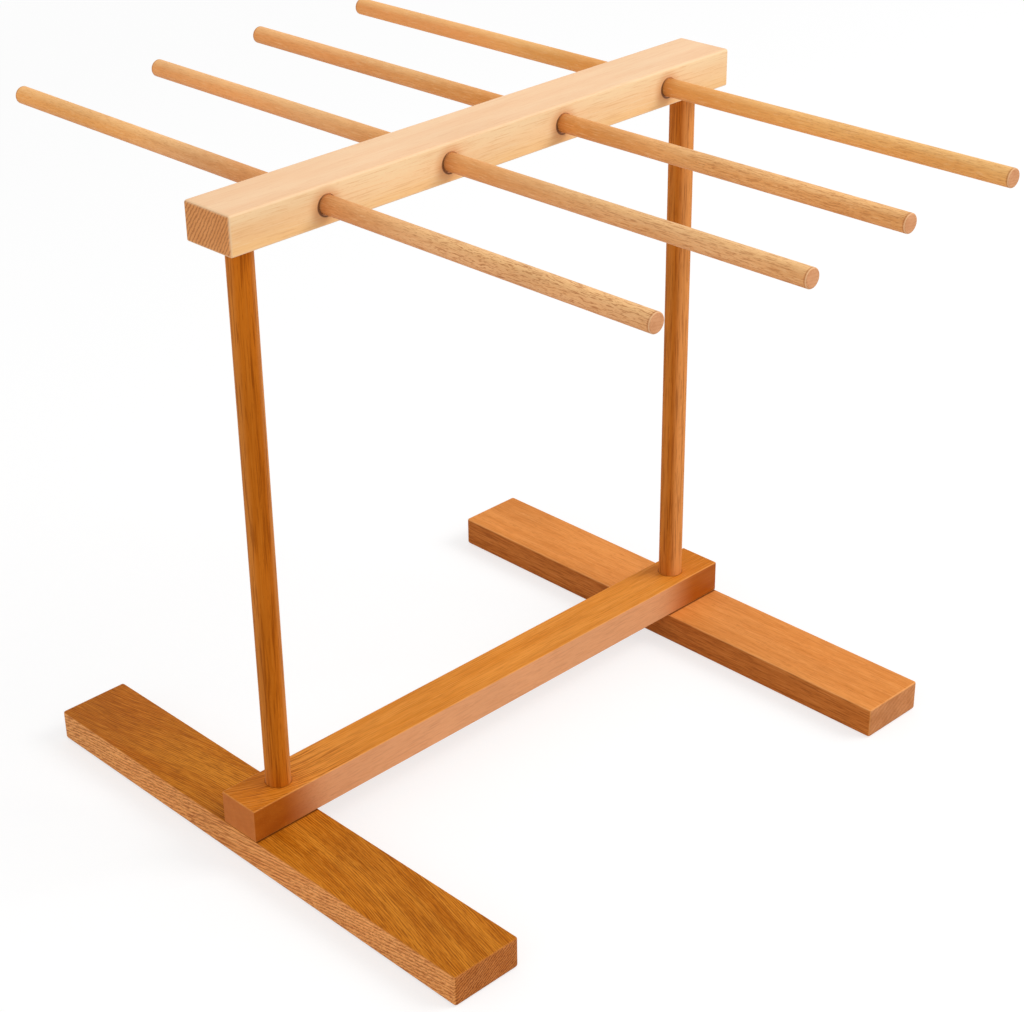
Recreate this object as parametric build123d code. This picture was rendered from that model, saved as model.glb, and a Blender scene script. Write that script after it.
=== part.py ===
from build123d import *
import os

# Driving sizes in millimetres. X runs along the rods and the feet, Y along the beam and the rail
# from the front to the rear, and Z up. The origin is on the floor, under the middle of the rack.

# Feet: two flat boards that lie across the ends of the rail
foot_length = 320
foot_width = 42
foot_thickness = 18
foot_corner_radius = 1.6
foot_top_radius = 1
foot_bottom_radius = 2

# Base rail: one bar on top of both feet, its ends flush with their outer sides
rail_width = 26
rail_height = 19
rail_overhang = 27           # from a post's axis to the end of the rail
rail_corner_radius = 0.6
rail_edge_radius = 0.7

# Posts: two round uprights, each in a blind seat in the rail and a blind socket in the beam
post_diameter = 13.5
post_reach = 298             # the bare length between rail and beam
post_inset = 17              # from a post's axis to the end of the beam
post_tip_chamfer = 1
seat_depth = 12              # of a post in the rail
socket_depth = 12            # of a post in the beam
socket_rim_chamfer = 0.5

# Top beam: one bar across both posts, bored for the rods at half its height
beam_length = 338
beam_width = 33
beam_height = 20
beam_corner_radius = 1.2
beam_top_radius = 1.4
beam_bottom_radius = 1
front_overhang = 57          # from the front end of the beam to the first rod
rear_overhang = 47           # from the last rod to the rear end of the beam

# Rods: loose round bars, pushed through the beam by hand
rod_count = 4
rod_length = 450
rod_diameter = 9.5
rod_tip_radius = 0.8
rod_rim_chamfer = 0.4
rod_push = 8                 # how far a rod that isn't centred stands off its middle
rod_push_shares = (-1, 1, 0, 0)

# Screws: one countersunk wood screw up through each foot and the rail into the post
screw_length = 60
screw_shank_diameter = 4.5
screw_core_diameter = 3.2
screw_head_diameter = 9
screw_head_rim = 0.4
screw_head_sink = 0.5        # from the foot's underside up to the head's face
screw_tip_length = 4
thread_length = 34
thread_count = 17
recess_depth = 2.6
recess_width = 1.1
recess_mouth_diameter = 5.2
recess_floor_diameter = 1.6

# Locating pins: one short dowel between each foot and the rail keeps them square
pin_diameter = 6
pin_length = 20
pin_tip_chamfer = 0.8

# Clearances, measured on the radius
glue_gap = 0.05              # round a glued post or pin
lift_gap = 0.08              # round a post in the beam's socket
slide_gap = 0.06             # round a rod in the beam
shank_gap = 0.25             # round a screw's smooth shank
end_gap = 0.3                # past the tip of a pin or a screw
cut_overrun = 1              # how far a cut runs past the face it opens

# Levels and places that follow from the sizes
rail_underside = foot_thickness
rail_top = rail_underside + rail_height
seat_floor = rail_top - seat_depth
beam_underside = rail_top + post_reach
socket_roof = beam_underside + socket_depth
beam_top = beam_underside + beam_height
rod_level = beam_underside + beam_height / 2
post_place = beam_length / 2 - post_inset
rail_length = 2 * (post_place + rail_overhang)
foot_place = rail_length / 2 - foot_width / 2
pin_place = post_place + (post_diameter / 2 + rail_overhang) / 2
pin_underside = rail_underside - pin_length / 2
rod_pitch = (beam_length - front_overhang - rear_overhang) / (rod_count - 1)
first_rod_place = front_overhang - beam_length / 2


def round_bar(diameter, low, high):
    """A cylinder on the Z axis between two levels."""
    bar = Cylinder(diameter / 2, high - low, align=(Align.CENTER, Align.CENTER, Align.MIN))
    return Pos(0, 0, low) * bar


def cone_between(low_diameter, high_diameter, low, high):
    """A cone on the Z axis between two levels."""
    cone = Cone(low_diameter / 2, high_diameter / 2, high - low,
                align=(Align.CENTER, Align.CENTER, Align.MIN))
    return Pos(0, 0, low) * cone


def edges_at(solid, level):
    """The edges that lie flat at one level."""
    return solid.edges().filter_by_position(Axis.Z, level, level)


def eased_board(size_x, size_y, low, high, corner_radius, top_radius, bottom_radius):
    """A straight board between two levels, with every edge eased by hand."""
    board = Box(size_x, size_y, high - low, align=(Align.CENTER, Align.CENTER, Align.MIN))
    board = Pos(0, 0, low) * board
    board = fillet(board.edges().filter_by(Axis.Z), corner_radius)
    board = fillet(edges_at(board, high), top_radius)
    return fillet(edges_at(board, low), bottom_radius)


def chamfered_bar(diameter, low, high, tip_chamfer):
    """A round bar with both tips chamfered."""
    bar = round_bar(diameter, low, high)
    return chamfer(edges_at(bar, low) + edges_at(bar, high), tip_chamfer)


def make_foot(side):
    """A foot under the front (side -1) or the rear (side 1) end of the rail."""
    foot = Pos(0, side * foot_place, 0) * eased_board(
        foot_length, foot_width, 0, foot_thickness,
        foot_corner_radius, foot_top_radius, foot_bottom_radius)
    pin_hole = round_bar(pin_diameter + 2 * glue_gap, pin_underside - end_gap,
                         foot_thickness + cut_overrun)
    return foot - Pos(0, side * post_place, 0) * screw_hole() - Pos(0, side * pin_place, 0) * pin_hole


def screw_hole():
    """The countersunk hole for a screw, from below the foot to inside the rail's seat."""
    head_top = screw_head_sink + screw_head_rim
    cone_height = (screw_head_diameter - screw_shank_diameter) / 2
    mouth = round_bar(screw_head_diameter + 2 * shank_gap, -cut_overrun, head_top)
    sink = cone_between(screw_head_diameter + 2 * shank_gap, screw_shank_diameter + 2 * shank_gap,
                        head_top, head_top + cone_height)
    shank = round_bar(screw_shank_diameter + 2 * shank_gap, -cut_overrun, seat_floor + cut_overrun)
    return mouth + sink + shank


def make_rail():
    """The base rail, with a blind seat for each post and a hole for each screw and pin."""
    rail = eased_board(rail_width, rail_length, rail_underside, rail_top,
                       rail_corner_radius, rail_edge_radius, rail_edge_radius)
    seat = round_bar(post_diameter + 2 * glue_gap, seat_floor, rail_top + cut_overrun)
    pin_hole = round_bar(pin_diameter + 2 * glue_gap, rail_underside - cut_overrun,
                         pin_underside + pin_length + end_gap)
    for side in (-1, 1):
        rail = rail - Pos(0, side * post_place, 0) * (seat + screw_hole())
        rail = rail - Pos(0, side * pin_place, 0) * pin_hole
    return rail


def make_post(side):
    """A round upright, drilled from below for its screw."""
    post = chamfered_bar(post_diameter, seat_floor, socket_roof, post_tip_chamfer)
    screw_tip = screw_head_sink + screw_length
    pilot_top = screw_tip - screw_tip_length
    pilot_diameter = screw_shank_diameter + 2 * glue_gap
    pilot = round_bar(pilot_diameter, seat_floor - cut_overrun, pilot_top)
    pilot_point = cone_between(pilot_diameter, 0, pilot_top, screw_tip + end_gap)
    return Pos(0, side * post_place, 0) * (post - pilot - pilot_point)


def make_screw(side):
    """A countersunk wood screw: cross recess, smooth shank, ridged thread and point."""
    head_face = screw_head_sink
    head_top = head_face + screw_head_rim
    cone_top = head_top + (screw_head_diameter - screw_shank_diameter) / 2
    tip = head_face + screw_length
    point_start = tip - screw_tip_length
    thread_start = point_start - thread_length
    pitch = thread_length / thread_count
    outline = [(0, head_face), (screw_head_diameter / 2, head_face),
               (screw_head_diameter / 2, head_top), (screw_shank_diameter / 2, cone_top),
               (screw_shank_diameter / 2, thread_start)]
    for ridge in range(thread_count):
        foot_of_ridge = thread_start + ridge * pitch
        outline.append((screw_core_diameter / 2, foot_of_ridge + pitch / 4))
        outline.append((screw_core_diameter / 2, foot_of_ridge + pitch / 2))
        outline.append((screw_shank_diameter / 2, foot_of_ridge + pitch))
    outline.append((screw_core_diameter / 2, point_start + pitch / 4))
    outline.append((0, tip))
    wire = Polyline(*[(radius, 0, level) for radius, level in outline], close=True)
    body = revolve(make_face(wire), Axis.Z)
    return Pos(0, side * post_place, 0) * (body - cross_recess(head_face))


def cross_recess(face):
    """The cross recess in a screw's head, narrower at its floor."""
    floor = face + recess_depth
    slot = Box(recess_mouth_diameter, recess_width, recess_depth + cut_overrun,
               align=(Align.CENTER, Align.CENTER, Align.MIN))
    cross = Pos(0, 0, face - cut_overrun) * (slot + Rot(0, 0, 90) * slot)
    taper = cone_between(recess_mouth_diameter, recess_floor_diameter, face, floor)
    mouth = round_bar(recess_mouth_diameter, face - cut_overrun, face)
    return cross & (taper + mouth)


def make_pin(side):
    """A short dowel, half in the foot and half in the rail."""
    pin = chamfered_bar(pin_diameter, pin_underside, pin_underside + pin_length, pin_tip_chamfer)
    return Pos(0, side * pin_place, 0) * pin


def rod_place(index):
    """Where a rod's axis stands along the beam, counted from the front."""
    return first_rod_place + index * rod_pitch


def make_beam():
    """The top beam, bored through for the rods and from below for the posts."""
    beam = eased_board(beam_width, beam_length, beam_underside, beam_top,
                       beam_corner_radius, beam_top_radius, beam_bottom_radius)
    socket_diameter = post_diameter + 2 * lift_gap
    socket = round_bar(socket_diameter, beam_underside - cut_overrun, socket_roof)
    rim = cone_between(socket_diameter + 2 * socket_rim_chamfer, socket_diameter,
                       beam_underside, beam_underside + socket_rim_chamfer)
    for side in (-1, 1):
        beam = beam - Pos(0, side * post_place, 0) * (socket + rim)
    for index in range(rod_count):
        beam = beam - Pos(0, rod_place(index), rod_level) * Rot(0, 90, 0) * rod_bore()
    return beam


def rod_bore():
    """The through hole for a rod, with a chamfered rim at each side of the beam."""
    diameter = rod_diameter + 2 * slide_gap
    half = beam_width / 2
    rim_diameter = diameter + 2 * rod_rim_chamfer
    bore = round_bar(diameter, -half - cut_overrun, half + cut_overrun)
    low_rim = cone_between(rim_diameter, diameter, -half, -half + rod_rim_chamfer)
    high_rim = cone_between(diameter, rim_diameter, half - rod_rim_chamfer, half)
    return bore + low_rim + high_rim


def make_rod(index):
    """A rod through the beam, with both tips rounded over."""
    rod = round_bar(rod_diameter, -rod_length / 2, rod_length / 2)
    tips = edges_at(rod, -rod_length / 2) + edges_at(rod, rod_length / 2)
    rod = fillet(tips, rod_tip_radius)
    push = rod_push * rod_push_shares[index % len(rod_push_shares)]
    return Pos(push, rod_place(index), rod_level) * Rot(0, 90, 0) * rod


def write(name, solid):
    """Write one piece as its own file."""
    solid.label = name
    export_step(solid, "parts/" + name + ".step")


os.makedirs("parts", exist_ok=True)

for side, end_name in ((-1, "front"), (1, "rear")):
    write("foot_" + end_name, make_foot(side))
    write("post_" + end_name, make_post(side))
    write("screw_" + end_name, make_screw(side))
    write("locating_pin_" + end_name, make_pin(side))
write("base_rail", make_rail())
write("top_beam", make_beam())
for index in range(rod_count):
    write("rod_" + str(index + 1), make_rod(index))
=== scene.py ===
import math

import bpy
from mathutils import Matrix, Vector


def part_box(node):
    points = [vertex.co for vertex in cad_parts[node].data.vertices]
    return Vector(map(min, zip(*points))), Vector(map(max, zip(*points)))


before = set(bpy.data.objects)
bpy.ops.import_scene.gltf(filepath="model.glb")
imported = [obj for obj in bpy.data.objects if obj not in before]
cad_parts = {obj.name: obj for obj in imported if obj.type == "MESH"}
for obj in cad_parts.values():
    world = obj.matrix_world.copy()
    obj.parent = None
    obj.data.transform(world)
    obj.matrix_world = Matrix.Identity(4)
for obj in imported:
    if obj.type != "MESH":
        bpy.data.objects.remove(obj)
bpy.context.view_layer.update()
print("rack loaded,", len(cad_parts), "pieces")


def tone(red, green, blue):
    # a colour as a picture editor shows it, 0 to 255, turned into what a shader takes
    linear = []
    for part in (red, green, blue):
        share = part / 255
        linear.append(share / 12.92 if share <= 0.04045 else ((share + 0.055) / 1.055) ** 2.4)
    return (*linear, 1)


def addNode(tree, kind, inputs=None, **settings):
    node = tree.nodes.new(kind)
    for key, value in settings.items():
        setattr(node, key, value)
    for socket, value in (inputs or {}).items():
        if isinstance(value, bpy.types.NodeSocket):
            tree.links.new(value, node.inputs[socket])
        else:
            node.inputs[socket].default_value = value
    return node


def calc(tree, operation, first, second=0.0, third=0.0):
    return addNode(tree, "ShaderNodeMath", {0: first, 1: second, 2: third}, operation=operation).outputs[0]


def calcVector(tree, operation, first, second=(0, 0, 0)):
    return addNode(tree, "ShaderNodeVectorMath", {0: first, 1: second}, operation=operation).outputs[0]


def splitVector(tree, vector):
    return addNode(tree, "ShaderNodeSeparateXYZ", {0: vector}).outputs


def ramp(tree, value, low, high, lowResult=0.0, highResult=1.0):
    # eases from lowResult at low to highResult at high
    node = addNode(tree, "ShaderNodeMapRange",
                   {"Value": value, "From Min": low, "From Max": high,
                    "To Min": lowResult, "To Max": highResult},
                   interpolation_type="SMOOTHSTEP")
    return node.outputs["Result"]


def blendColour(tree, amount, below, above):
    return addNode(tree, "ShaderNodeMix", {0: amount, 6: below, 7: above}, data_type="RGBA").outputs[2]


def grainNoise(tree, place, sizes, detail=2.0, seed=0.0, roughness=0.55):
    # sizes in mm: how long one blotch is along the grain, across it, and through the board
    stretched = calcVector(tree, "MULTIPLY", place, tuple(1 / size for size in sizes))
    return addNode(tree, "ShaderNodeTexNoise",
                   {"Vector": stretched, "W": seed, "Scale": 1.0, "Detail": detail, "Roughness": roughness},
                   noise_dimensions="4D")


grainTurns = {"X": (0, 0, 0), "Y": (0, 0, -math.pi / 2), "Z": (0, math.pi / 2, 0)}  # grain to X


def turnedBox(nodeName, grain):
    # middle and half size of a piece in mm, turned as its grain is
    low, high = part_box(nodeName)
    turn = Matrix.Identity(3)
    if grain == "Y":
        turn = Matrix.Rotation(-math.pi / 2, 3, "Z")
    if grain == "Z":
        turn = Matrix.Rotation(math.pi / 2, 3, "Y")
    half = turn @ ((high - low) / 2 * 1000)
    return turn @ ((low + high) / 2 * 1000), [abs(size) for size in half]


markRanges = {  # from where to where in its noise each mark comes in
    "figure": (0.32, 0.68), "streakSpan": 0.13, "light": (0.46, 0.32),
    "fleckSize": (0.44, 0.24), "fleckChosen": (0.25, 0.8),
    "ringSpan": 0.8, "ringBreaks": (0.36, 0.54),
    "comb": (-0.3, 0.9), "combBreaks": (0.34, 0.56), "combRest": 0.3,
    "poreSizes": (0.8, 0.55, 0.55), "pores": (0.5, 0.72),
}
noiseSeeds = {"drift": 3, "fine": 7, "wobble": 11, "comb": 17, "pores": 23, "edge": 29, "cloud": 31}


def findMarks(tree, place, look, seed, onSide):
    # masks from 0 to 1: where the wood is darker, paler, flecked or ringed
    drift = grainNoise(tree, place, look["driftSizes"], 1.0, seed + noiseSeeds["drift"]).outputs["Color"]
    drift = calcVector(tree, "SUBTRACT", drift, (0.5, 0.5, 0.5))
    drift = calcVector(tree, "MULTIPLY", drift, (0, look["drift"], look["drift"]))
    wandering = calcVector(tree, "ADD", place, drift)
    spread = splitVector(tree, wandering)

    # the grain may bend sideways over a stretch of the piece, and lean on its sides
    curve, slant, bendFrom, bendTo = look["bend"]
    along = calc(tree, "MINIMUM", calc(tree, "MAXIMUM", spread[0], bendFrom), bendTo)
    slope = calc(tree, "MULTIPLY_ADD", along, 2 * curve, slant)
    sideways = calc(tree, "MULTIPLY_ADD", slope, spread[0], spread[1])
    sideways = calc(tree, "MULTIPLY_ADD", calc(tree, "MULTIPLY", along, along), -curve, sideways)
    lean = calc(tree, "MULTIPLY", onSide, look["lean"])
    upwards = calc(tree, "MULTIPLY_ADD", lean, spread[0], spread[2])
    bent = addNode(tree, "ShaderNodeCombineXYZ", {0: spread[0], 1: sideways, 2: upwards}).outputs[0]

    marks = {}
    figure = grainNoise(tree, bent, look["figureSizes"], 2.0, seed).outputs["Fac"]
    marks["figure"] = ramp(tree, figure, *markRanges["figure"])
    fine = grainNoise(tree, bent, look["streakSizes"], 2.5, seed + noiseSeeds["fine"], 0.6).outputs["Fac"]
    marks["fine"] = fine
    streakFull = look["streakFrom"] + markRanges["streakSpan"]
    marks["streaks"] = ramp(tree, fine, look["streakFrom"], streakFull)
    marks["light"] = ramp(tree, fine, *markRanges["light"])

    # short pores and ray flecks
    fleckPlace = calcVector(tree, "MULTIPLY", bent, tuple(1 / size for size in look["fleckSizes"]))
    cells = addNode(tree, "ShaderNodeTexVoronoi",
                    {"Vector": fleckPlace, "W": seed, "Scale": 1.0, "Randomness": 1.0},
                    voronoi_dimensions="4D")
    chosen = addNode(tree, "ShaderNodeSeparateColor", {0: cells.outputs["Color"]}).outputs[0]
    flecks = ramp(tree, cells.outputs["Distance"], *markRanges["fleckSize"])
    marks["flecks"] = calc(tree, "MULTIPLY", flecks, ramp(tree, chosen, *markRanges["fleckChosen"]))

    # growth rings run through the board as wavy sheets at one angle
    angle = math.radians(look["ringAngle"])
    rings = calc(tree, "MULTIPLY", spread[1], math.cos(angle) / look["ringPitch"])
    rings = calc(tree, "MULTIPLY_ADD", upwards, math.sin(angle) / look["ringPitch"], rings)
    rings = calc(tree, "MULTIPLY_ADD", spread[0], look["ringRunOut"] / look["ringPitch"], rings)
    wobble = grainNoise(tree, place, look["wobbleSizes"], 2.0, seed + noiseSeeds["wobble"]).outputs["Fac"]
    rings = calc(tree, "MULTIPLY_ADD", wobble, look["ringWobble"], rings)
    rings = calc(tree, "SINE", calc(tree, "MULTIPLY", rings, 2 * math.pi))
    rings = ramp(tree, rings, look["ringFrom"], look["ringFrom"] + markRanges["ringSpan"])
    whole = ramp(tree, fine, *markRanges["ringBreaks"], look["ringBreaks"], 1.0)
    marks["rings"] = calc(tree, "MULTIPLY", rings, whole)

    if "combPitch" in look:  # close lines, as if combed, on the broad faces
        combed = grainNoise(tree, bent, look["combSizes"], 2.0, seed + noiseSeeds["comb"]).outputs["Fac"]
        combed = calc(tree, "MULTIPLY", combed, look["combWobble"])
        combed = calc(tree, "MULTIPLY_ADD", sideways, 1 / look["combPitch"], combed)
        combed = calc(tree, "SINE", calc(tree, "MULTIPLY", combed, 2 * math.pi))
        combed = ramp(tree, combed, *markRanges["comb"])
        whole = ramp(tree, fine, *markRanges["combBreaks"], markRanges["combRest"], 1.0)
        marks["combed"] = calc(tree, "MULTIPLY", combed, whole)

    pores = grainNoise(tree, place, markRanges["poreSizes"], 2.0, seed + noiseSeeds["pores"], 0.7)
    marks["pores"] = ramp(tree, pores.outputs["Fac"], *markRanges["pores"])
    return marks


def paintFace(tree, marks, spread, face):
    # plain colours first, then the pale marks, then the dark ones
    colour = blendColour(tree, marks["figure"], tone(*face["pale"]), tone(*face["deep"]))
    for drawn in face.get("drawn", ()):  # tones that come in along one axis, or both ways from the middle
        if drawn["axis"] == "both ways":
            reach = calc(tree, "ABSOLUTE", spread[0])
        else:
            reach = spread[drawn["axis"]]
        amount = ramp(tree, reach, drawn["from"], drawn["to"], 0.0, drawn["share"])
        colour = blendColour(tree, amount, colour, tone(*drawn["tone"]))
    lightAmount = calc(tree, "MULTIPLY", marks["light"], face["lightShare"])
    colour = blendColour(tree, lightAmount, colour, tone(*face["light"]))
    for mark in ("combed", "streaks", "flecks", "rings", "pores"):
        if mark in face:
            share = face[mark]
            if "calm" in face:  # fewer marks towards one end
                calm = face["calm"]
                share = ramp(tree, spread[0], calm["from"], calm["to"], share, share * calm["rest"])
            amount = calc(tree, "MULTIPLY", marks[mark], share)
            colour = blendColour(tree, amount, colour, tone(*face["dark"]))
    return colour


def nearestPlace(tree, along, places):
    # distance along the piece to the closest of some places
    nearest = calc(tree, "ABSOLUTE", calc(tree, "SUBTRACT", along, places[0]))
    for place in places[1:]:
        gap = calc(tree, "ABSOLUTE", calc(tree, "SUBTRACT", along, place))
        nearest = calc(tree, "MINIMUM", nearest, gap)
    return nearest


surface = {
    "endFacing": (0.6, 0.85), "sideFacing": (0.75, 0.4), "topFacing": (0.6, 0.9),  # by how the surface faces
    "tipRimOuter": (0.1, 0.4), "tipRimInner": (0.9, 0.7),
    "edgeFull": 0.4,                   # the share of the edge's width that takes the full painted highlight
    "edgePatches": (25, 6, 6), "edgePatchy": (0.3, 0.6, 0.4, 1.0),
    "cloudSizes": (70, 30, 30), "cloudRange": (0.3, 0.7),
    "fleckDulls": 0.1, "fineDulls": 0.12, "endDulls": 0.12,
    "ringDepth": 0.6, "fleckDepth": -0.6, "endDepth": -0.8,
}


def woodMaterial(nodeName, look, seed):
    centre, half = turnedBox(nodeName, look["grain"])
    material = bpy.data.materials.new("wood_" + nodeName)
    material.use_nodes = True
    tree = material.node_tree
    shader = tree.nodes["Principled BSDF"]
    coords = addNode(tree, "ShaderNodeTexCoord")
    # place: mm from the middle of the piece, with the grain along X
    place = addNode(tree, "ShaderNodeMapping",
                    {"Vector": coords.outputs["Object"], "Location": -centre,
                     "Rotation": grainTurns[look["grain"]], "Scale": (1000, 1000, 1000)}).outputs[0]
    spread = splitVector(tree, place)

    # which way the surface faces
    facing = splitVector(tree, coords.outputs["Normal"])
    endFacing = calc(tree, "ABSOLUTE", facing["XYZ".index(look["grain"])])
    atEnd = ramp(tree, endFacing, *surface["endFacing"])
    onSide = ramp(tree, calc(tree, "ABSOLUTE", facing[2]), *surface["sideFacing"])
    onTop = ramp(tree, facing[2], *surface["topFacing"])

    marks = findMarks(tree, place, look, seed, onSide)
    colour = paintFace(tree, marks, spread, look["top"])
    if "side" in look:
        colour = blendColour(tree, onSide, colour, paintFace(tree, marks, spread, look["side"]))
    colour = blendColour(tree, atEnd, colour, paintFace(tree, marks, spread, look["end"]))

    if "tipHighlight" in look:  # the rounded rim of a rod's tip, painted paler as a highlight
        tipHighlight = look["tipHighlight"]
        outer = ramp(tree, endFacing, *surface["tipRimOuter"])
        inner = ramp(tree, endFacing, *surface["tipRimInner"])
        amount = calc(tree, "MULTIPLY", calc(tree, "MULTIPLY", outer, inner), tipHighlight["share"])
        colour = blendColour(tree, amount, colour, tone(*tipHighlight["tone"]))

    # a painted highlight along the eased edges, in patches
    if "edge" in look:
        gap = splitVector(tree, calcVector(tree, "SUBTRACT", half, calcVector(tree, "ABSOLUTE", place)))
        smaller = calc(tree, "MINIMUM", gap[0], gap[1])
        toEdge = calc(tree, "MAXIMUM", smaller, gap[2])
        if look["uprightEdges"]:
            larger = calc(tree, "MAXIMUM", gap[0], gap[1])
            toEdge = calc(tree, "MINIMUM", toEdge, larger)
        edge = ramp(tree, toEdge, look["edgeWidth"], look["edgeWidth"] * surface["edgeFull"])
        patchy = grainNoise(tree, place, surface["edgePatches"], 2.0, seed + noiseSeeds["edge"])
        patchy = ramp(tree, patchy.outputs["Fac"], *surface["edgePatchy"])
        edge = calc(tree, "MULTIPLY", edge, patchy)
        colour = blendColour(tree, calc(tree, "MULTIPLY", edge, look["edgeShare"]),
                             colour, tone(*look["edge"]))

    # painted shade where another piece comes through, holds this one or stands on it
    faceMasks = {"side": onSide, "top": onTop, "all": 1.0}
    for paintedShade in look.get("paintedShades", ()):
        distance = nearestPlace(tree, spread[0], paintedShade["places"])
        if paintedShade["round"]:
            across = calc(tree, "ADD", spread[paintedShade["round"]], paintedShade["sag"])
            squares = calc(tree, "MULTIPLY_ADD", distance, distance, calc(tree, "MULTIPLY", across, across))
            distance = calc(tree, "SQRT", squares)
        amount = ramp(tree, distance, paintedShade["radius"] + paintedShade["soft"], paintedShade["radius"], 0.0, paintedShade["share"])
        amount = calc(tree, "MULTIPLY", amount, faceMasks[paintedShade["face"]])
        colour = blendColour(tree, amount, colour, tone(*paintedShade["tone"]))

    # large soft changes of tone along the piece
    cloud = grainNoise(tree, place, surface["cloudSizes"], 2.0, seed + noiseSeeds["cloud"]).outputs["Fac"]
    cloud = ramp(tree, cloud, *surface["cloudRange"], 1 - look["cloud"], 1 + look["cloud"])
    colour = calcVector(tree, "SCALE", colour)
    tree.links.new(cloud, colour.node.inputs["Scale"])
    tree.links.new(colour, shader.inputs["Base Color"])

    # satin finish, a little duller in the pores and on end grain
    dull = calc(tree, "MULTIPLY_ADD", marks["flecks"], surface["fleckDulls"], look["roughness"])
    dull = calc(tree, "MULTIPLY_ADD", marks["fine"], surface["fineDulls"], dull)
    dull = calc(tree, "MULTIPLY_ADD", atEnd, surface["endDulls"], dull)
    tree.links.new(dull, shader.inputs["Roughness"])
    shader.inputs["Specular IOR Level"].default_value = look["gloss"]

    # the relief: flecks lie a little deep everywhere, rings and pores only on end grain
    endMarks = calc(tree, "MULTIPLY_ADD", marks["rings"], surface["ringDepth"], marks["pores"])
    endMarks = calc(tree, "MULTIPLY", endMarks, atEnd)
    height = calc(tree, "MULTIPLY_ADD", marks["flecks"], surface["fleckDepth"], marks["fine"])
    height = calc(tree, "MULTIPLY_ADD", endMarks, surface["endDepth"], height)
    bump = addNode(tree, "ShaderNodeBump",
                   {"Height": height, "Strength": 1.0, "Distance": look["relief"] / 1000})
    tree.links.new(bump.outputs[0], shader.inputs["Normal"])
    return material


def finishPiece(nodeName, look, seed):
    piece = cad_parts[nodeName]
    material = woodMaterial(nodeName, look, seed)
    for slot in piece.material_slots:
        slot.material = material
    print("finished", nodeName)


beamLook = {
    "grain": "Y", "driftSizes": (150, 25, 25), "drift": 3.0, "bend": (0, 0, 0, 0), "lean": 0,
    "figureSizes": (110, 12, 12),
    "streakSizes": (18, 0.6, 0.6), "streakFrom": 0.52, "fleckSizes": (3, 0.5, 0.5),
    "ringAngle": 33, "ringPitch": 1.8, "ringRunOut": 0.01, "wobbleSizes": (60, 2.4, 2.4),
    "ringWobble": 0.95, "ringFrom": -0.1, "ringBreaks": 0.55,
    # the top's paler, whiter tone is partly a painted reflection
    "top": {"pale": (255, 214, 170), "deep": (251, 204, 158), "light": (255, 222, 184), "lightShare": 0.25,
            "dark": (238, 182, 132), "streaks": 0.32, "flecks": 0.15},
    "side": {"pale": (255, 212, 160), "deep": (250, 202, 148), "light": (255, 221, 178), "lightShare": 0.35,
             # painted shade darkens the side towards the front end; a painted highlight pales its upper part
             # and painted shade deepens its lower part
             "drawn": ({"axis": 0, "from": -90, "to": -169, "share": 0.7, "tone": (243, 189, 131)},
                       {"axis": 2, "from": 0, "to": 8, "share": 0.6, "tone": (255, 224, 178)},
                       {"axis": 2, "from": 0, "to": -9, "share": 0.8, "tone": (253, 200, 134)}),
             "dark": (228, 166, 106), "streaks": 0.38, "flecks": 0.2},
    "end": {"pale": (237, 163, 97), "deep": (227, 152, 86), "light": (244, 178, 118), "lightShare": 0.3,
            "dark": (166, 92, 44), "rings": 0.66, "pores": 0.3},
    "edge": (255, 219, 176), "edgeWidth": 1.3, "edgeShare": 0.5, "uprightEdges": True,
    # painted shade round each rod's bore: a soft brown halo, and a dark crescent where the hole lies in
    # shadow
    "paintedShades": ({"places": (-113, -35, 43, 121), "round": 2, "sag": 0.8, "radius": 5.0, "soft": 6.5,
              "share": 0.5, "face": "side", "tone": (214, 138, 72)},
             {"places": (-112.5, -34.5, 43.5, 121.5), "round": 2, "sag": 0.3, "radius": 5.3, "soft": 0.6,
              "share": 0.82, "face": "side", "tone": (92, 38, 4)}),
    "cloud": 0.02, "roughness": 0.42, "gloss": 0.18, "relief": 0.03,
}
finishPiece("top_beam", beamLook, 1.7)

rodLook = {
    "grain": "X", "bend": (0, 0, 0, 0), "lean": 0,
    "figureSizes": (60, 4, 4),
    "streakSizes": (6, 0.5, 0.5), "streakFrom": 0.5, "fleckSizes": (2.6, 0.5, 0.5),
    "ringAngle": 80, "ringPitch": 1.5, "ringRunOut": 0.01, "wobbleSizes": (40, 3, 3),
    "ringWobble": 0.8, "ringFrom": 0.0, "ringBreaks": 0.5, "firstSeed": 10, "seedStep": 3.1,
    "top": {"light": (255, 206, 150), "lightShare": 0.4, "dark": (168, 92, 40), "rings": 0.1,
            "calm": {"from": 130, "to": 50, "rest": 0.35}},
    "end": {"pale": (230, 166, 118), "deep": (218, 152, 104), "light": (240, 182, 136), "lightShare": 0.3,
            "dark": (190, 122, 76), "rings": 0.2, "pores": 0.3},
    "tipHighlight": {"share": 0.6, "tone": (255, 208, 158)},
    # painted shade on the rod where the beam holds it
    "beamShade": {"round": 0, "radius": 15, "soft": 13, "share": 0.36, "face": "all", "tone": (148, 76, 20)},
    "cloud": 0.05, "roughness": 0.45, "gloss": 0.12, "relief": 0.03,
}
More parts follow.
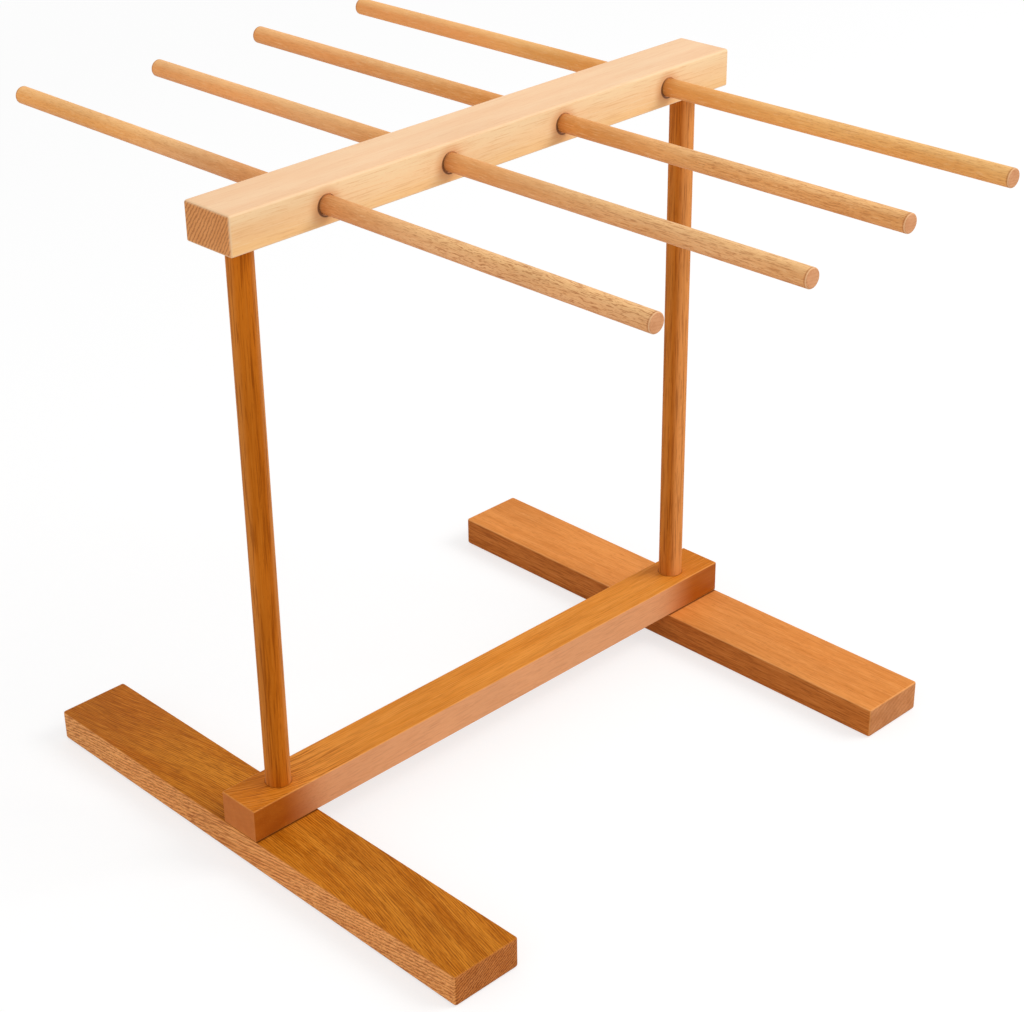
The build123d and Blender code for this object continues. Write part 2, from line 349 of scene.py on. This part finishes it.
rodTraits = {  # heldAt: where the beam holds the rod at rest, in mm from the rod's middle
    # the paler top of each rod is a painted highlight; its deeper underside and its deeper tone towards the
    # beam are painted shade
    1: {"pale": (252, 192, 134), "deep": (242, 178, 118), "shadeNearBeam": (218, 136, 68),
        "leftEnd": (255, 176, 92), "highlightAbove": (255, 210, 146), "shadeBelow": (226, 148, 86),
        "marks": 0.6, "waves": (9, 4, 4), "waving": 2.2, "heldAt": 8},
    2: {"pale": (248, 188, 128), "deep": (238, 174, 112), "shadeNearBeam": (230, 152, 80),
        "leftEnd": (255, 174, 102), "highlightAbove": (255, 212, 150), "shadeBelow": (226, 148, 86),
        "marks": 0.45, "waves": (30, 6, 6), "waving": 1.4, "heldAt": -8},
    3: {"pale": (247, 179, 110), "deep": (236, 165, 96), "shadeNearBeam": (222, 138, 56),
        "leftEnd": (250, 168, 98), "highlightAbove": (255, 210, 148), "shadeBelow": (226, 148, 82),
        "marks": 0.45, "waves": (30, 6, 6), "waving": 1.4, "heldAt": 0},
    4: {"pale": (255, 190, 112), "deep": (250, 178, 98), "shadeNearBeam": (228, 146, 66),
        "leftEnd": (250, 168, 100), "highlightAbove": (255, 210, 142), "shadeBelow": (248, 164, 80),
        "marks": 0.3, "waves": (60, 8, 8), "waving": 1.2, "heldAt": 0},
}
for rodNumber, traits in rodTraits.items():
    # the last of these darkens a thin band round the very tip
    drawn = ({"axis": 0, "from": -60, "to": -150, "share": 0.8, "tone": traits["leftEnd"]},
             # a painted highlight on the rod's top and painted shade on its underside
             {"axis": 2, "from": 1.5, "to": 4.6, "share": 0.45, "tone": traits["highlightAbove"]},
             {"axis": 2, "from": 0.5, "to": -4.5, "share": 0.6, "tone": traits["shadeBelow"]},
             # painted shade towards the beam, both ways from the middle
             {"axis": "both ways", "from": 110, "to": 20, "share": 0.65, "tone": traits["shadeNearBeam"]},
             {"axis": "both ways", "from": 223.4, "to": 224, "share": 0.6, "tone": (184, 108, 60)})
    rodTop = dict(rodLook["top"], pale=traits["pale"], deep=traits["deep"], drawn=drawn,
                  streaks=traits["marks"], flecks=traits["marks"])
    beamShade = dict(rodLook["beamShade"], places=(traits["heldAt"],))
    look = dict(rodLook, top=rodTop, driftSizes=traits["waves"], drift=traits["waving"], paintedShades=(beamShade,))
    finishPiece("rod_" + str(rodNumber), look, rodLook["firstSeed"] + rodLook["seedStep"] * rodNumber)

postLook = {
    "grain": "Z", "driftSizes": (90, 12, 12), "drift": 1.5, "bend": (0, 0, 0, 0), "lean": 0,
    "figureSizes": (110, 4, 4),
    "streakSizes": (24, 0.8, 0.8), "streakFrom": 0.5, "fleckSizes": (5, 0.7, 0.7),
    "ringAngle": 30, "ringPitch": 3.6, "ringRunOut": 0.01, "wobbleSizes": (80, 4, 4),
    "ringWobble": 0.8, "ringFrom": 0.2, "ringBreaks": 0.4,
    "top": {"pale": (200, 110, 24), "deep": (186, 98, 14), "light": (212, 128, 42), "lightShare": 0.3,
            "drawn": ({"axis": 0, "from": -40, "to": -130, "share": 0.5, "tone": (206, 116, 26)},
                      {"axis": 0, "from": 40, "to": 130, "share": 0.5, "tone": (212, 118, 26)},
                      # these three are painted light: they pale the post towards its sides
                      {"axis": 2, "from": -4, "to": -0.5, "share": 0.8, "tone": (212, 130, 54)},
                      {"axis": 2, "from": 1, "to": 4.5, "share": 0.85, "tone": (246, 178, 118)},
                      {"axis": 1, "from": 0, "to": 4.5, "share": 0.6, "tone": (238, 166, 98)}),
            "dark": (124, 50, 0), "streaks": 0.45, "flecks": 0.2, "rings": 0.2},
    "end": {"pale": (190, 110, 40), "deep": (176, 98, 30), "light": (204, 126, 56), "lightShare": 0.3,
            "dark": (130, 64, 14), "rings": 0.4, "pores": 0.35},
    "cloud": 0.06, "roughness": 0.52, "gloss": 0.03, "relief": 0.04,
}
finishPiece("post_front", postLook, 31.3)

rearPostTop = dict(
    postLook["top"],
    drawn=({"axis": 0, "from": -40, "to": -130, "share": 0.5, "tone": (206, 116, 26)},
           # these two are painted light: they pale the post towards its sides
           {"axis": 2, "from": -4.5, "to": -0.5, "share": 0.8, "tone": (212, 130, 54)},
           {"axis": 1, "from": -6.6, "to": -2.6, "share": 0.85, "tone": (236, 156, 86)}),
)
finishPiece("post_rear", dict(postLook, top=rearPostTop), 37.9)

railLook = {
    "grain": "Y", "driftSizes": (80, 16, 16), "drift": 3.0,
    "bend": (-0.0055, -1.375, -172, -125), "lean": 0,
    "figureSizes": (90, 8, 8),
    "streakSizes": (17, 0.65, 0.65), "streakFrom": 0.5, "fleckSizes": (6, 0.5, 0.5),
    "ringAngle": 70, "ringPitch": 2.4, "ringRunOut": 0.015, "wobbleSizes": (60, 3.5, 3.5),
    "ringWobble": 0.9, "ringFrom": 0.1, "ringBreaks": 0.5,
    "combSizes": (40, 5, 5), "combPitch": 1.4, "combWobble": 1.5,
    "top": {"pale": (234, 150, 58), "deep": (224, 138, 44), "light": (242, 164, 78), "lightShare": 0.4,
            "drawn": ({"axis": "both ways", "from": 128, "to": 174, "share": 0.9, "tone": (212, 120, 18)},),
            "dark": (146, 70, 4), "combed": 0.4, "streaks": 0.6, "flecks": 0.45,
            "calm": {"from": -130, "to": -85, "rest": 0.35}},
    "side": {"pale": (180, 96, 22), "deep": (168, 84, 14), "light": (196, 116, 48), "lightShare": 0.3,
             # a painted sheen: the pinkish tan in the middle of the side
             "drawn": ({"axis": "both ways", "from": 162, "to": 124, "share": 0.95,
                        "tone": (236, 168, 118)},),
             "dark": (160, 86, 34), "streaks": 0.2, "flecks": 0.12},
    "end": {"pale": (206, 120, 56), "deep": (198, 112, 50), "light": (212, 128, 66), "lightShare": 0.2,
            "dark": (160, 84, 32), "rings": 0.06, "pores": 0.15},
    "edge": (246, 172, 96), "edgeWidth": 0.8, "edgeShare": 0.45, "uprightEdges": False,
    # painted shade in a ring round the foot of each post
    "paintedShades": ({"places": (-152, 152), "round": 1, "sag": 0, "radius": 6.8, "soft": 0.9,
              "share": 0.5, "face": "top", "tone": (104, 46, 6)},),
    "cloud": 0.04, "roughness": 0.45, "gloss": 0.08, "relief": 0.04,
}
finishPiece("base_rail", railLook, 43.1)

frontFootLook = {
    "grain": "X", "driftSizes": (110, 34, 34), "drift": 7.0, "bend": (0.0014, 0.01, -62, 82), "lean": -0.16,
    "figureSizes": (130, 6, 6),
    "streakSizes": (10, 0.42, 0.42), "streakFrom": 0.49, "fleckSizes": (5, 0.42, 0.42),
    "ringAngle": -58, "ringPitch": 1.6, "ringRunOut": 0.0, "wobbleSizes": (14, 2.2, 2.2),
    "ringWobble": 1.7, "ringFrom": -0.3, "ringBreaks": 0.35,
    "combSizes": (30, 4, 4), "combPitch": 1.25, "combWobble": 1.8,
    "top": {"pale": (219, 137, 37), "deep": (191, 107, 10), "light": (230, 152, 56), "lightShare": 0.4,
            "drawn": ({"axis": 0, "from": -50, "to": -140, "share": 0.7, "tone": (184, 101, 28)},),
            "dark": (124, 58, 0), "combed": 0.5, "streaks": 0.45, "flecks": 0.4},
    # the side's pale pinkish tone is partly a painted sheen
    "side": {"pale": (254, 176, 102), "deep": (244, 164, 90), "light": (255, 192, 124), "lightShare": 0.4,
             "drawn": ({"axis": 0, "from": 0, "to": -150, "share": 0.5, "tone": (255, 180, 104)},),
             "dark": (160, 78, 28), "rings": 0.62, "streaks": 0.5, "flecks": 0.3},
    "end": {"pale": (208, 128, 64), "deep": (194, 114, 50), "light": (218, 140, 78), "lightShare": 0.25,
            "dark": (118, 54, 12), "rings": 0.75, "pores": 0.3},
    "edge": (228, 146, 74), "edgeWidth": 1.0, "edgeShare": 0.2, "uprightEdges": False,
    # painted shade in a line along the top where the rail stands on the foot
    "paintedShades": ({"places": (0,), "round": 0, "sag": 0, "radius": 13.1, "soft": 1.2,
              "share": 0.8, "face": "top", "tone": (88, 38, 4)},),
    "cloud": 0.06, "roughness": 0.48, "gloss": 0.08, "relief": 0.05,
}
finishPiece("foot_front", frontFootLook, 53.6)

rearFootLook = dict(
    frontFootLook, bend=(0, 0, 0, 0), lean=0, drift=3.0, streakSizes=(12, 0.7, 0.7),
    ringWobble=1.0, ringPitch=3.0,
    top={"pale": (234, 151, 76), "deep": (222, 137, 62), "light": (242, 166, 94), "lightShare": 0.4,
         "dark": (180, 98, 34), "streaks": 0.25, "flecks": 0.45},
    side={"pale": (198, 116, 48), "deep": (184, 102, 36), "light": (214, 134, 66), "lightShare": 0.45,
          "dark": (144, 72, 18), "streaks": 0.6, "flecks": 0.3},
    end={"pale": (208, 140, 88), "deep": (196, 126, 74), "light": (216, 150, 102), "lightShare": 0.3,
         "dark": (166, 96, 50), "rings": 0.3, "pores": 0.3},
    edge=(250, 178, 108), edgeShare=0.5, uprightEdges=True,
)
finishPiece("foot_rear", rearFootLook, 59.2)

pinLook = {
    "grain": "Z", "driftSizes": (40, 6, 6), "drift": 0.6, "bend": (0, 0, 0, 0), "lean": 0,
    "figureSizes": (30, 3, 3),
    "streakSizes": (9, 0.6, 0.6), "streakFrom": 0.54, "fleckSizes": (3, 0.6, 0.6),
    "ringAngle": 20, "ringPitch": 1.6, "ringRunOut": 0.0, "wobbleSizes": (30, 3, 3),
    "ringWobble": 0.7, "ringFrom": 0.0, "ringBreaks": 0.5,
    "top": {"pale": (224, 178, 128), "deep": (212, 162, 110), "light": (236, 196, 150), "lightShare": 0.3,
            "dark": (182, 128, 82), "streaks": 0.4, "flecks": 0.35},
    "end": {"pale": (212, 164, 118), "deep": (200, 150, 104), "light": (222, 178, 134), "lightShare": 0.2,
            "dark": (168, 114, 72), "rings": 0.5, "pores": 0.4},
    "cloud": 0.03, "roughness": 0.6, "gloss": 0.2, "relief": 0.03,
}
finishPiece("locating_pin_front", pinLook, 67.7)
finishPiece("locating_pin_rear", pinLook, 71.9)

# zinc on steel, rubbed dull in patches
screwLook = {
    "zinc": (196, 196, 188), "worn": (150, 148, 140), "patchSizes": (1.4, 1.4, 1.4), "wornRange": (0.42, 0.7),
    "roughness": 0.28, "wornDulls": 0.18, "scratchSizes": (3.0, 0.12, 0.12), "scratchDulls": 0.1,
    "relief": 0.008,
}


def screwMaterial(look):
    material = bpy.data.materials.new("zinc_steel")
    material.use_nodes = True
    tree = material.node_tree
    shader = tree.nodes["Principled BSDF"]
    coords = addNode(tree, "ShaderNodeTexCoord")
    place = addNode(tree, "ShaderNodeMapping",
                    {"Vector": coords.outputs["Object"], "Scale": (1000, 1000, 1000)}).outputs[0]
    patches = grainNoise(tree, place, look["patchSizes"], 3.0, 2.0).outputs["Fac"]
    scratches = grainNoise(tree, place, look["scratchSizes"], 2.0, 5.0).outputs["Fac"]
    worn = ramp(tree, patches, *look["wornRange"])
    colour = blendColour(tree, worn, tone(*look["zinc"]), tone(*look["worn"]))
    tree.links.new(colour, shader.inputs["Base Color"])
    shader.inputs["Metallic"].default_value = 1.0
    dull = calc(tree, "MULTIPLY_ADD", worn, look["wornDulls"], look["roughness"])
    dull = calc(tree, "MULTIPLY_ADD", scratches, look["scratchDulls"], dull)
    tree.links.new(dull, shader.inputs["Roughness"])
    bump = addNode(tree, "ShaderNodeBump",
                   {"Height": scratches, "Strength": 1.0, "Distance": look["relief"] / 1000})
    tree.links.new(bump.outputs[0], shader.inputs["Normal"])
    return material


zincSteel = screwMaterial(screwLook)
for nodeName in ("screw_front", "screw_rear"):
    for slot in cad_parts[nodeName].material_slots:
        slot.material = zincSteel
print("screws finished")

studio = {
    "floorSize": 14, "floorDrop": 0.0002,
    "floorBounce": (0.78, 0.78, 0.78, 1),   # what the floor gives back to the rack
    "floorSeen": (0.38, 0.38, 0.38, 1),     # the part of the seen floor that the lamps light
    "floorLift": 0.67,                      # the rest of its white
    "floorFade": (0.9, 2.6),                # metres from the rack where it turns into plain white
    "worldFill": 0.6,
    "keyPlace": (1.5, 1.5, 2.2), "keySize": 1.5, "keyPower": 38,
    "fillPlace": (0.6, -2.4, 1.5), "fillSize": 2.2, "fillPower": 12,
    "aim": (0, 0, 0.17),                    # what the lamps point at
}


def seenRays(tree):
    # 1 for rays that a picture, a mirror or a glass sees, and 0 for light on the rack
    path = addNode(tree, "ShaderNodeLightPath").outputs
    seen = calc(tree, "MAXIMUM", path["Is Camera Ray"], path["Is Glossy Ray"])
    return calc(tree, "MAXIMUM", seen, path["Is Transmission Ray"])


def makeFloor():
    # lit near the rack, so that it keeps the shadow, and plain white further out
    bpy.ops.mesh.primitive_plane_add(size=studio["floorSize"], location=(0, 0, -studio["floorDrop"]))
    floor = bpy.context.object
    floor.name = "studio_floor"
    material = bpy.data.materials.new("floor_white")
    material.use_nodes = True
    tree = material.node_tree
    tree.nodes.remove(tree.nodes["Principled BSDF"])
    seen = seenRays(tree)
    coords = addNode(tree, "ShaderNodeTexCoord")
    outward = addNode(tree, "ShaderNodeVectorMath", {0: coords.outputs["Object"]}, operation="LENGTH")
    fade = calc(tree, "MULTIPLY", ramp(tree, outward.outputs["Value"], *studio["floorFade"]), seen)
    colour = blendColour(tree, seen, studio["floorBounce"], studio["floorSeen"])
    colour = blendColour(tree, fade, colour, (0, 0, 0, 1))
    matt = addNode(tree, "ShaderNodeBsdfDiffuse", {"Color": colour})
    lift = calc(tree, "MULTIPLY", seen, studio["floorLift"])
    lift = calc(tree, "MULTIPLY_ADD", fade, 1 - studio["floorLift"], lift)
    lift = addNode(tree, "ShaderNodeEmission", {"Strength": lift})
    both = addNode(tree, "ShaderNodeAddShader", {0: matt.outputs[0], 1: lift.outputs[0]})
    tree.links.new(both.outputs[0], tree.nodes["Material Output"].inputs["Surface"])
    floor.data.materials.append(material)


def makeWorld():
    world = bpy.data.worlds.new("studio_world")
    bpy.context.scene.world = world
    world.use_nodes = True
    tree = world.node_tree
    strength = ramp(tree, seenRays(tree), 0, 1, studio["worldFill"], 1.0)
    background = tree.nodes["Background"]
    background.inputs["Color"].default_value = (1, 1, 1, 1)
    tree.links.new(strength, background.inputs["Strength"])


def makeLamp(name, place, size, power):
    lamp = bpy.data.lights.new(name, "AREA")
    lamp.shape = "SQUARE"
    lamp.size = size
    lamp.energy = power
    lampObject = bpy.data.objects.new(name, lamp)
    bpy.context.scene.collection.objects.link(lampObject)
    lampObject.location = place
    lampObject.rotation_euler = (Vector(studio["aim"]) - Vector(place)).to_track_quat("-Z", "Y").to_euler()


makeFloor()
makeWorld()
makeLamp("key_softbox", studio["keyPlace"], studio["keySize"], studio["keyPower"])
makeLamp("fill_softbox", studio["fillPlace"], studio["fillSize"], studio["fillPower"])

cameraLook = {  # metres, degrees and pixels of the photograph; centre is where its axis meets it
    "target": (-0.04053, -0.0323, 0.13682),
    "azimuth": 48.99, "elevation": 28.02, "distance": 1.186, "roll": -2.42,
    "focalPixels": 2194.78, "centre": (390, 506), "image": (1024, 1012), "sensor": 36,
    "nearest": 0.05, "farthest": 60,
}


def makeCamera(look):
    azimuth = math.radians(look["azimuth"])
    elevation = math.radians(look["elevation"])
    roll = math.radians(look["roll"])
    back = Vector((math.sin(azimuth) * math.cos(elevation),
                   -math.cos(azimuth) * math.cos(elevation), math.sin(elevation)))
    right = (-back).cross(Vector((0, 0, 1))).normalized()
    up = right.cross(-back)
    rolledRight = right * math.cos(roll) + up * math.sin(roll)
    rolledUp = up * math.cos(roll) - right * math.sin(roll)
    camera = bpy.data.cameras.new("photo_camera")
    width, height = look["image"]
    camera.sensor_width = look["sensor"]
    camera.lens = look["focalPixels"] * look["sensor"] / width
    camera.shift_x = (width / 2 - look["centre"][0]) / width
    camera.shift_y = (look["centre"][1] - height / 2) / width
    camera.clip_start = look["nearest"]
    camera.clip_end = look["farthest"]
    cameraObject = bpy.data.objects.new("photo_camera", camera)
    bpy.context.scene.collection.objects.link(cameraObject)
    stand = Matrix((rolledRight, rolledUp, back)).transposed().to_4x4()
    stand.translation = Vector(look["target"]) + back * look["distance"]
    cameraObject.matrix_world = stand
    bpy.context.scene.camera = cameraObject


makeCamera(cameraLook)
bpy.context.scene.view_settings.view_transform = "Standard"
print("studio ready")
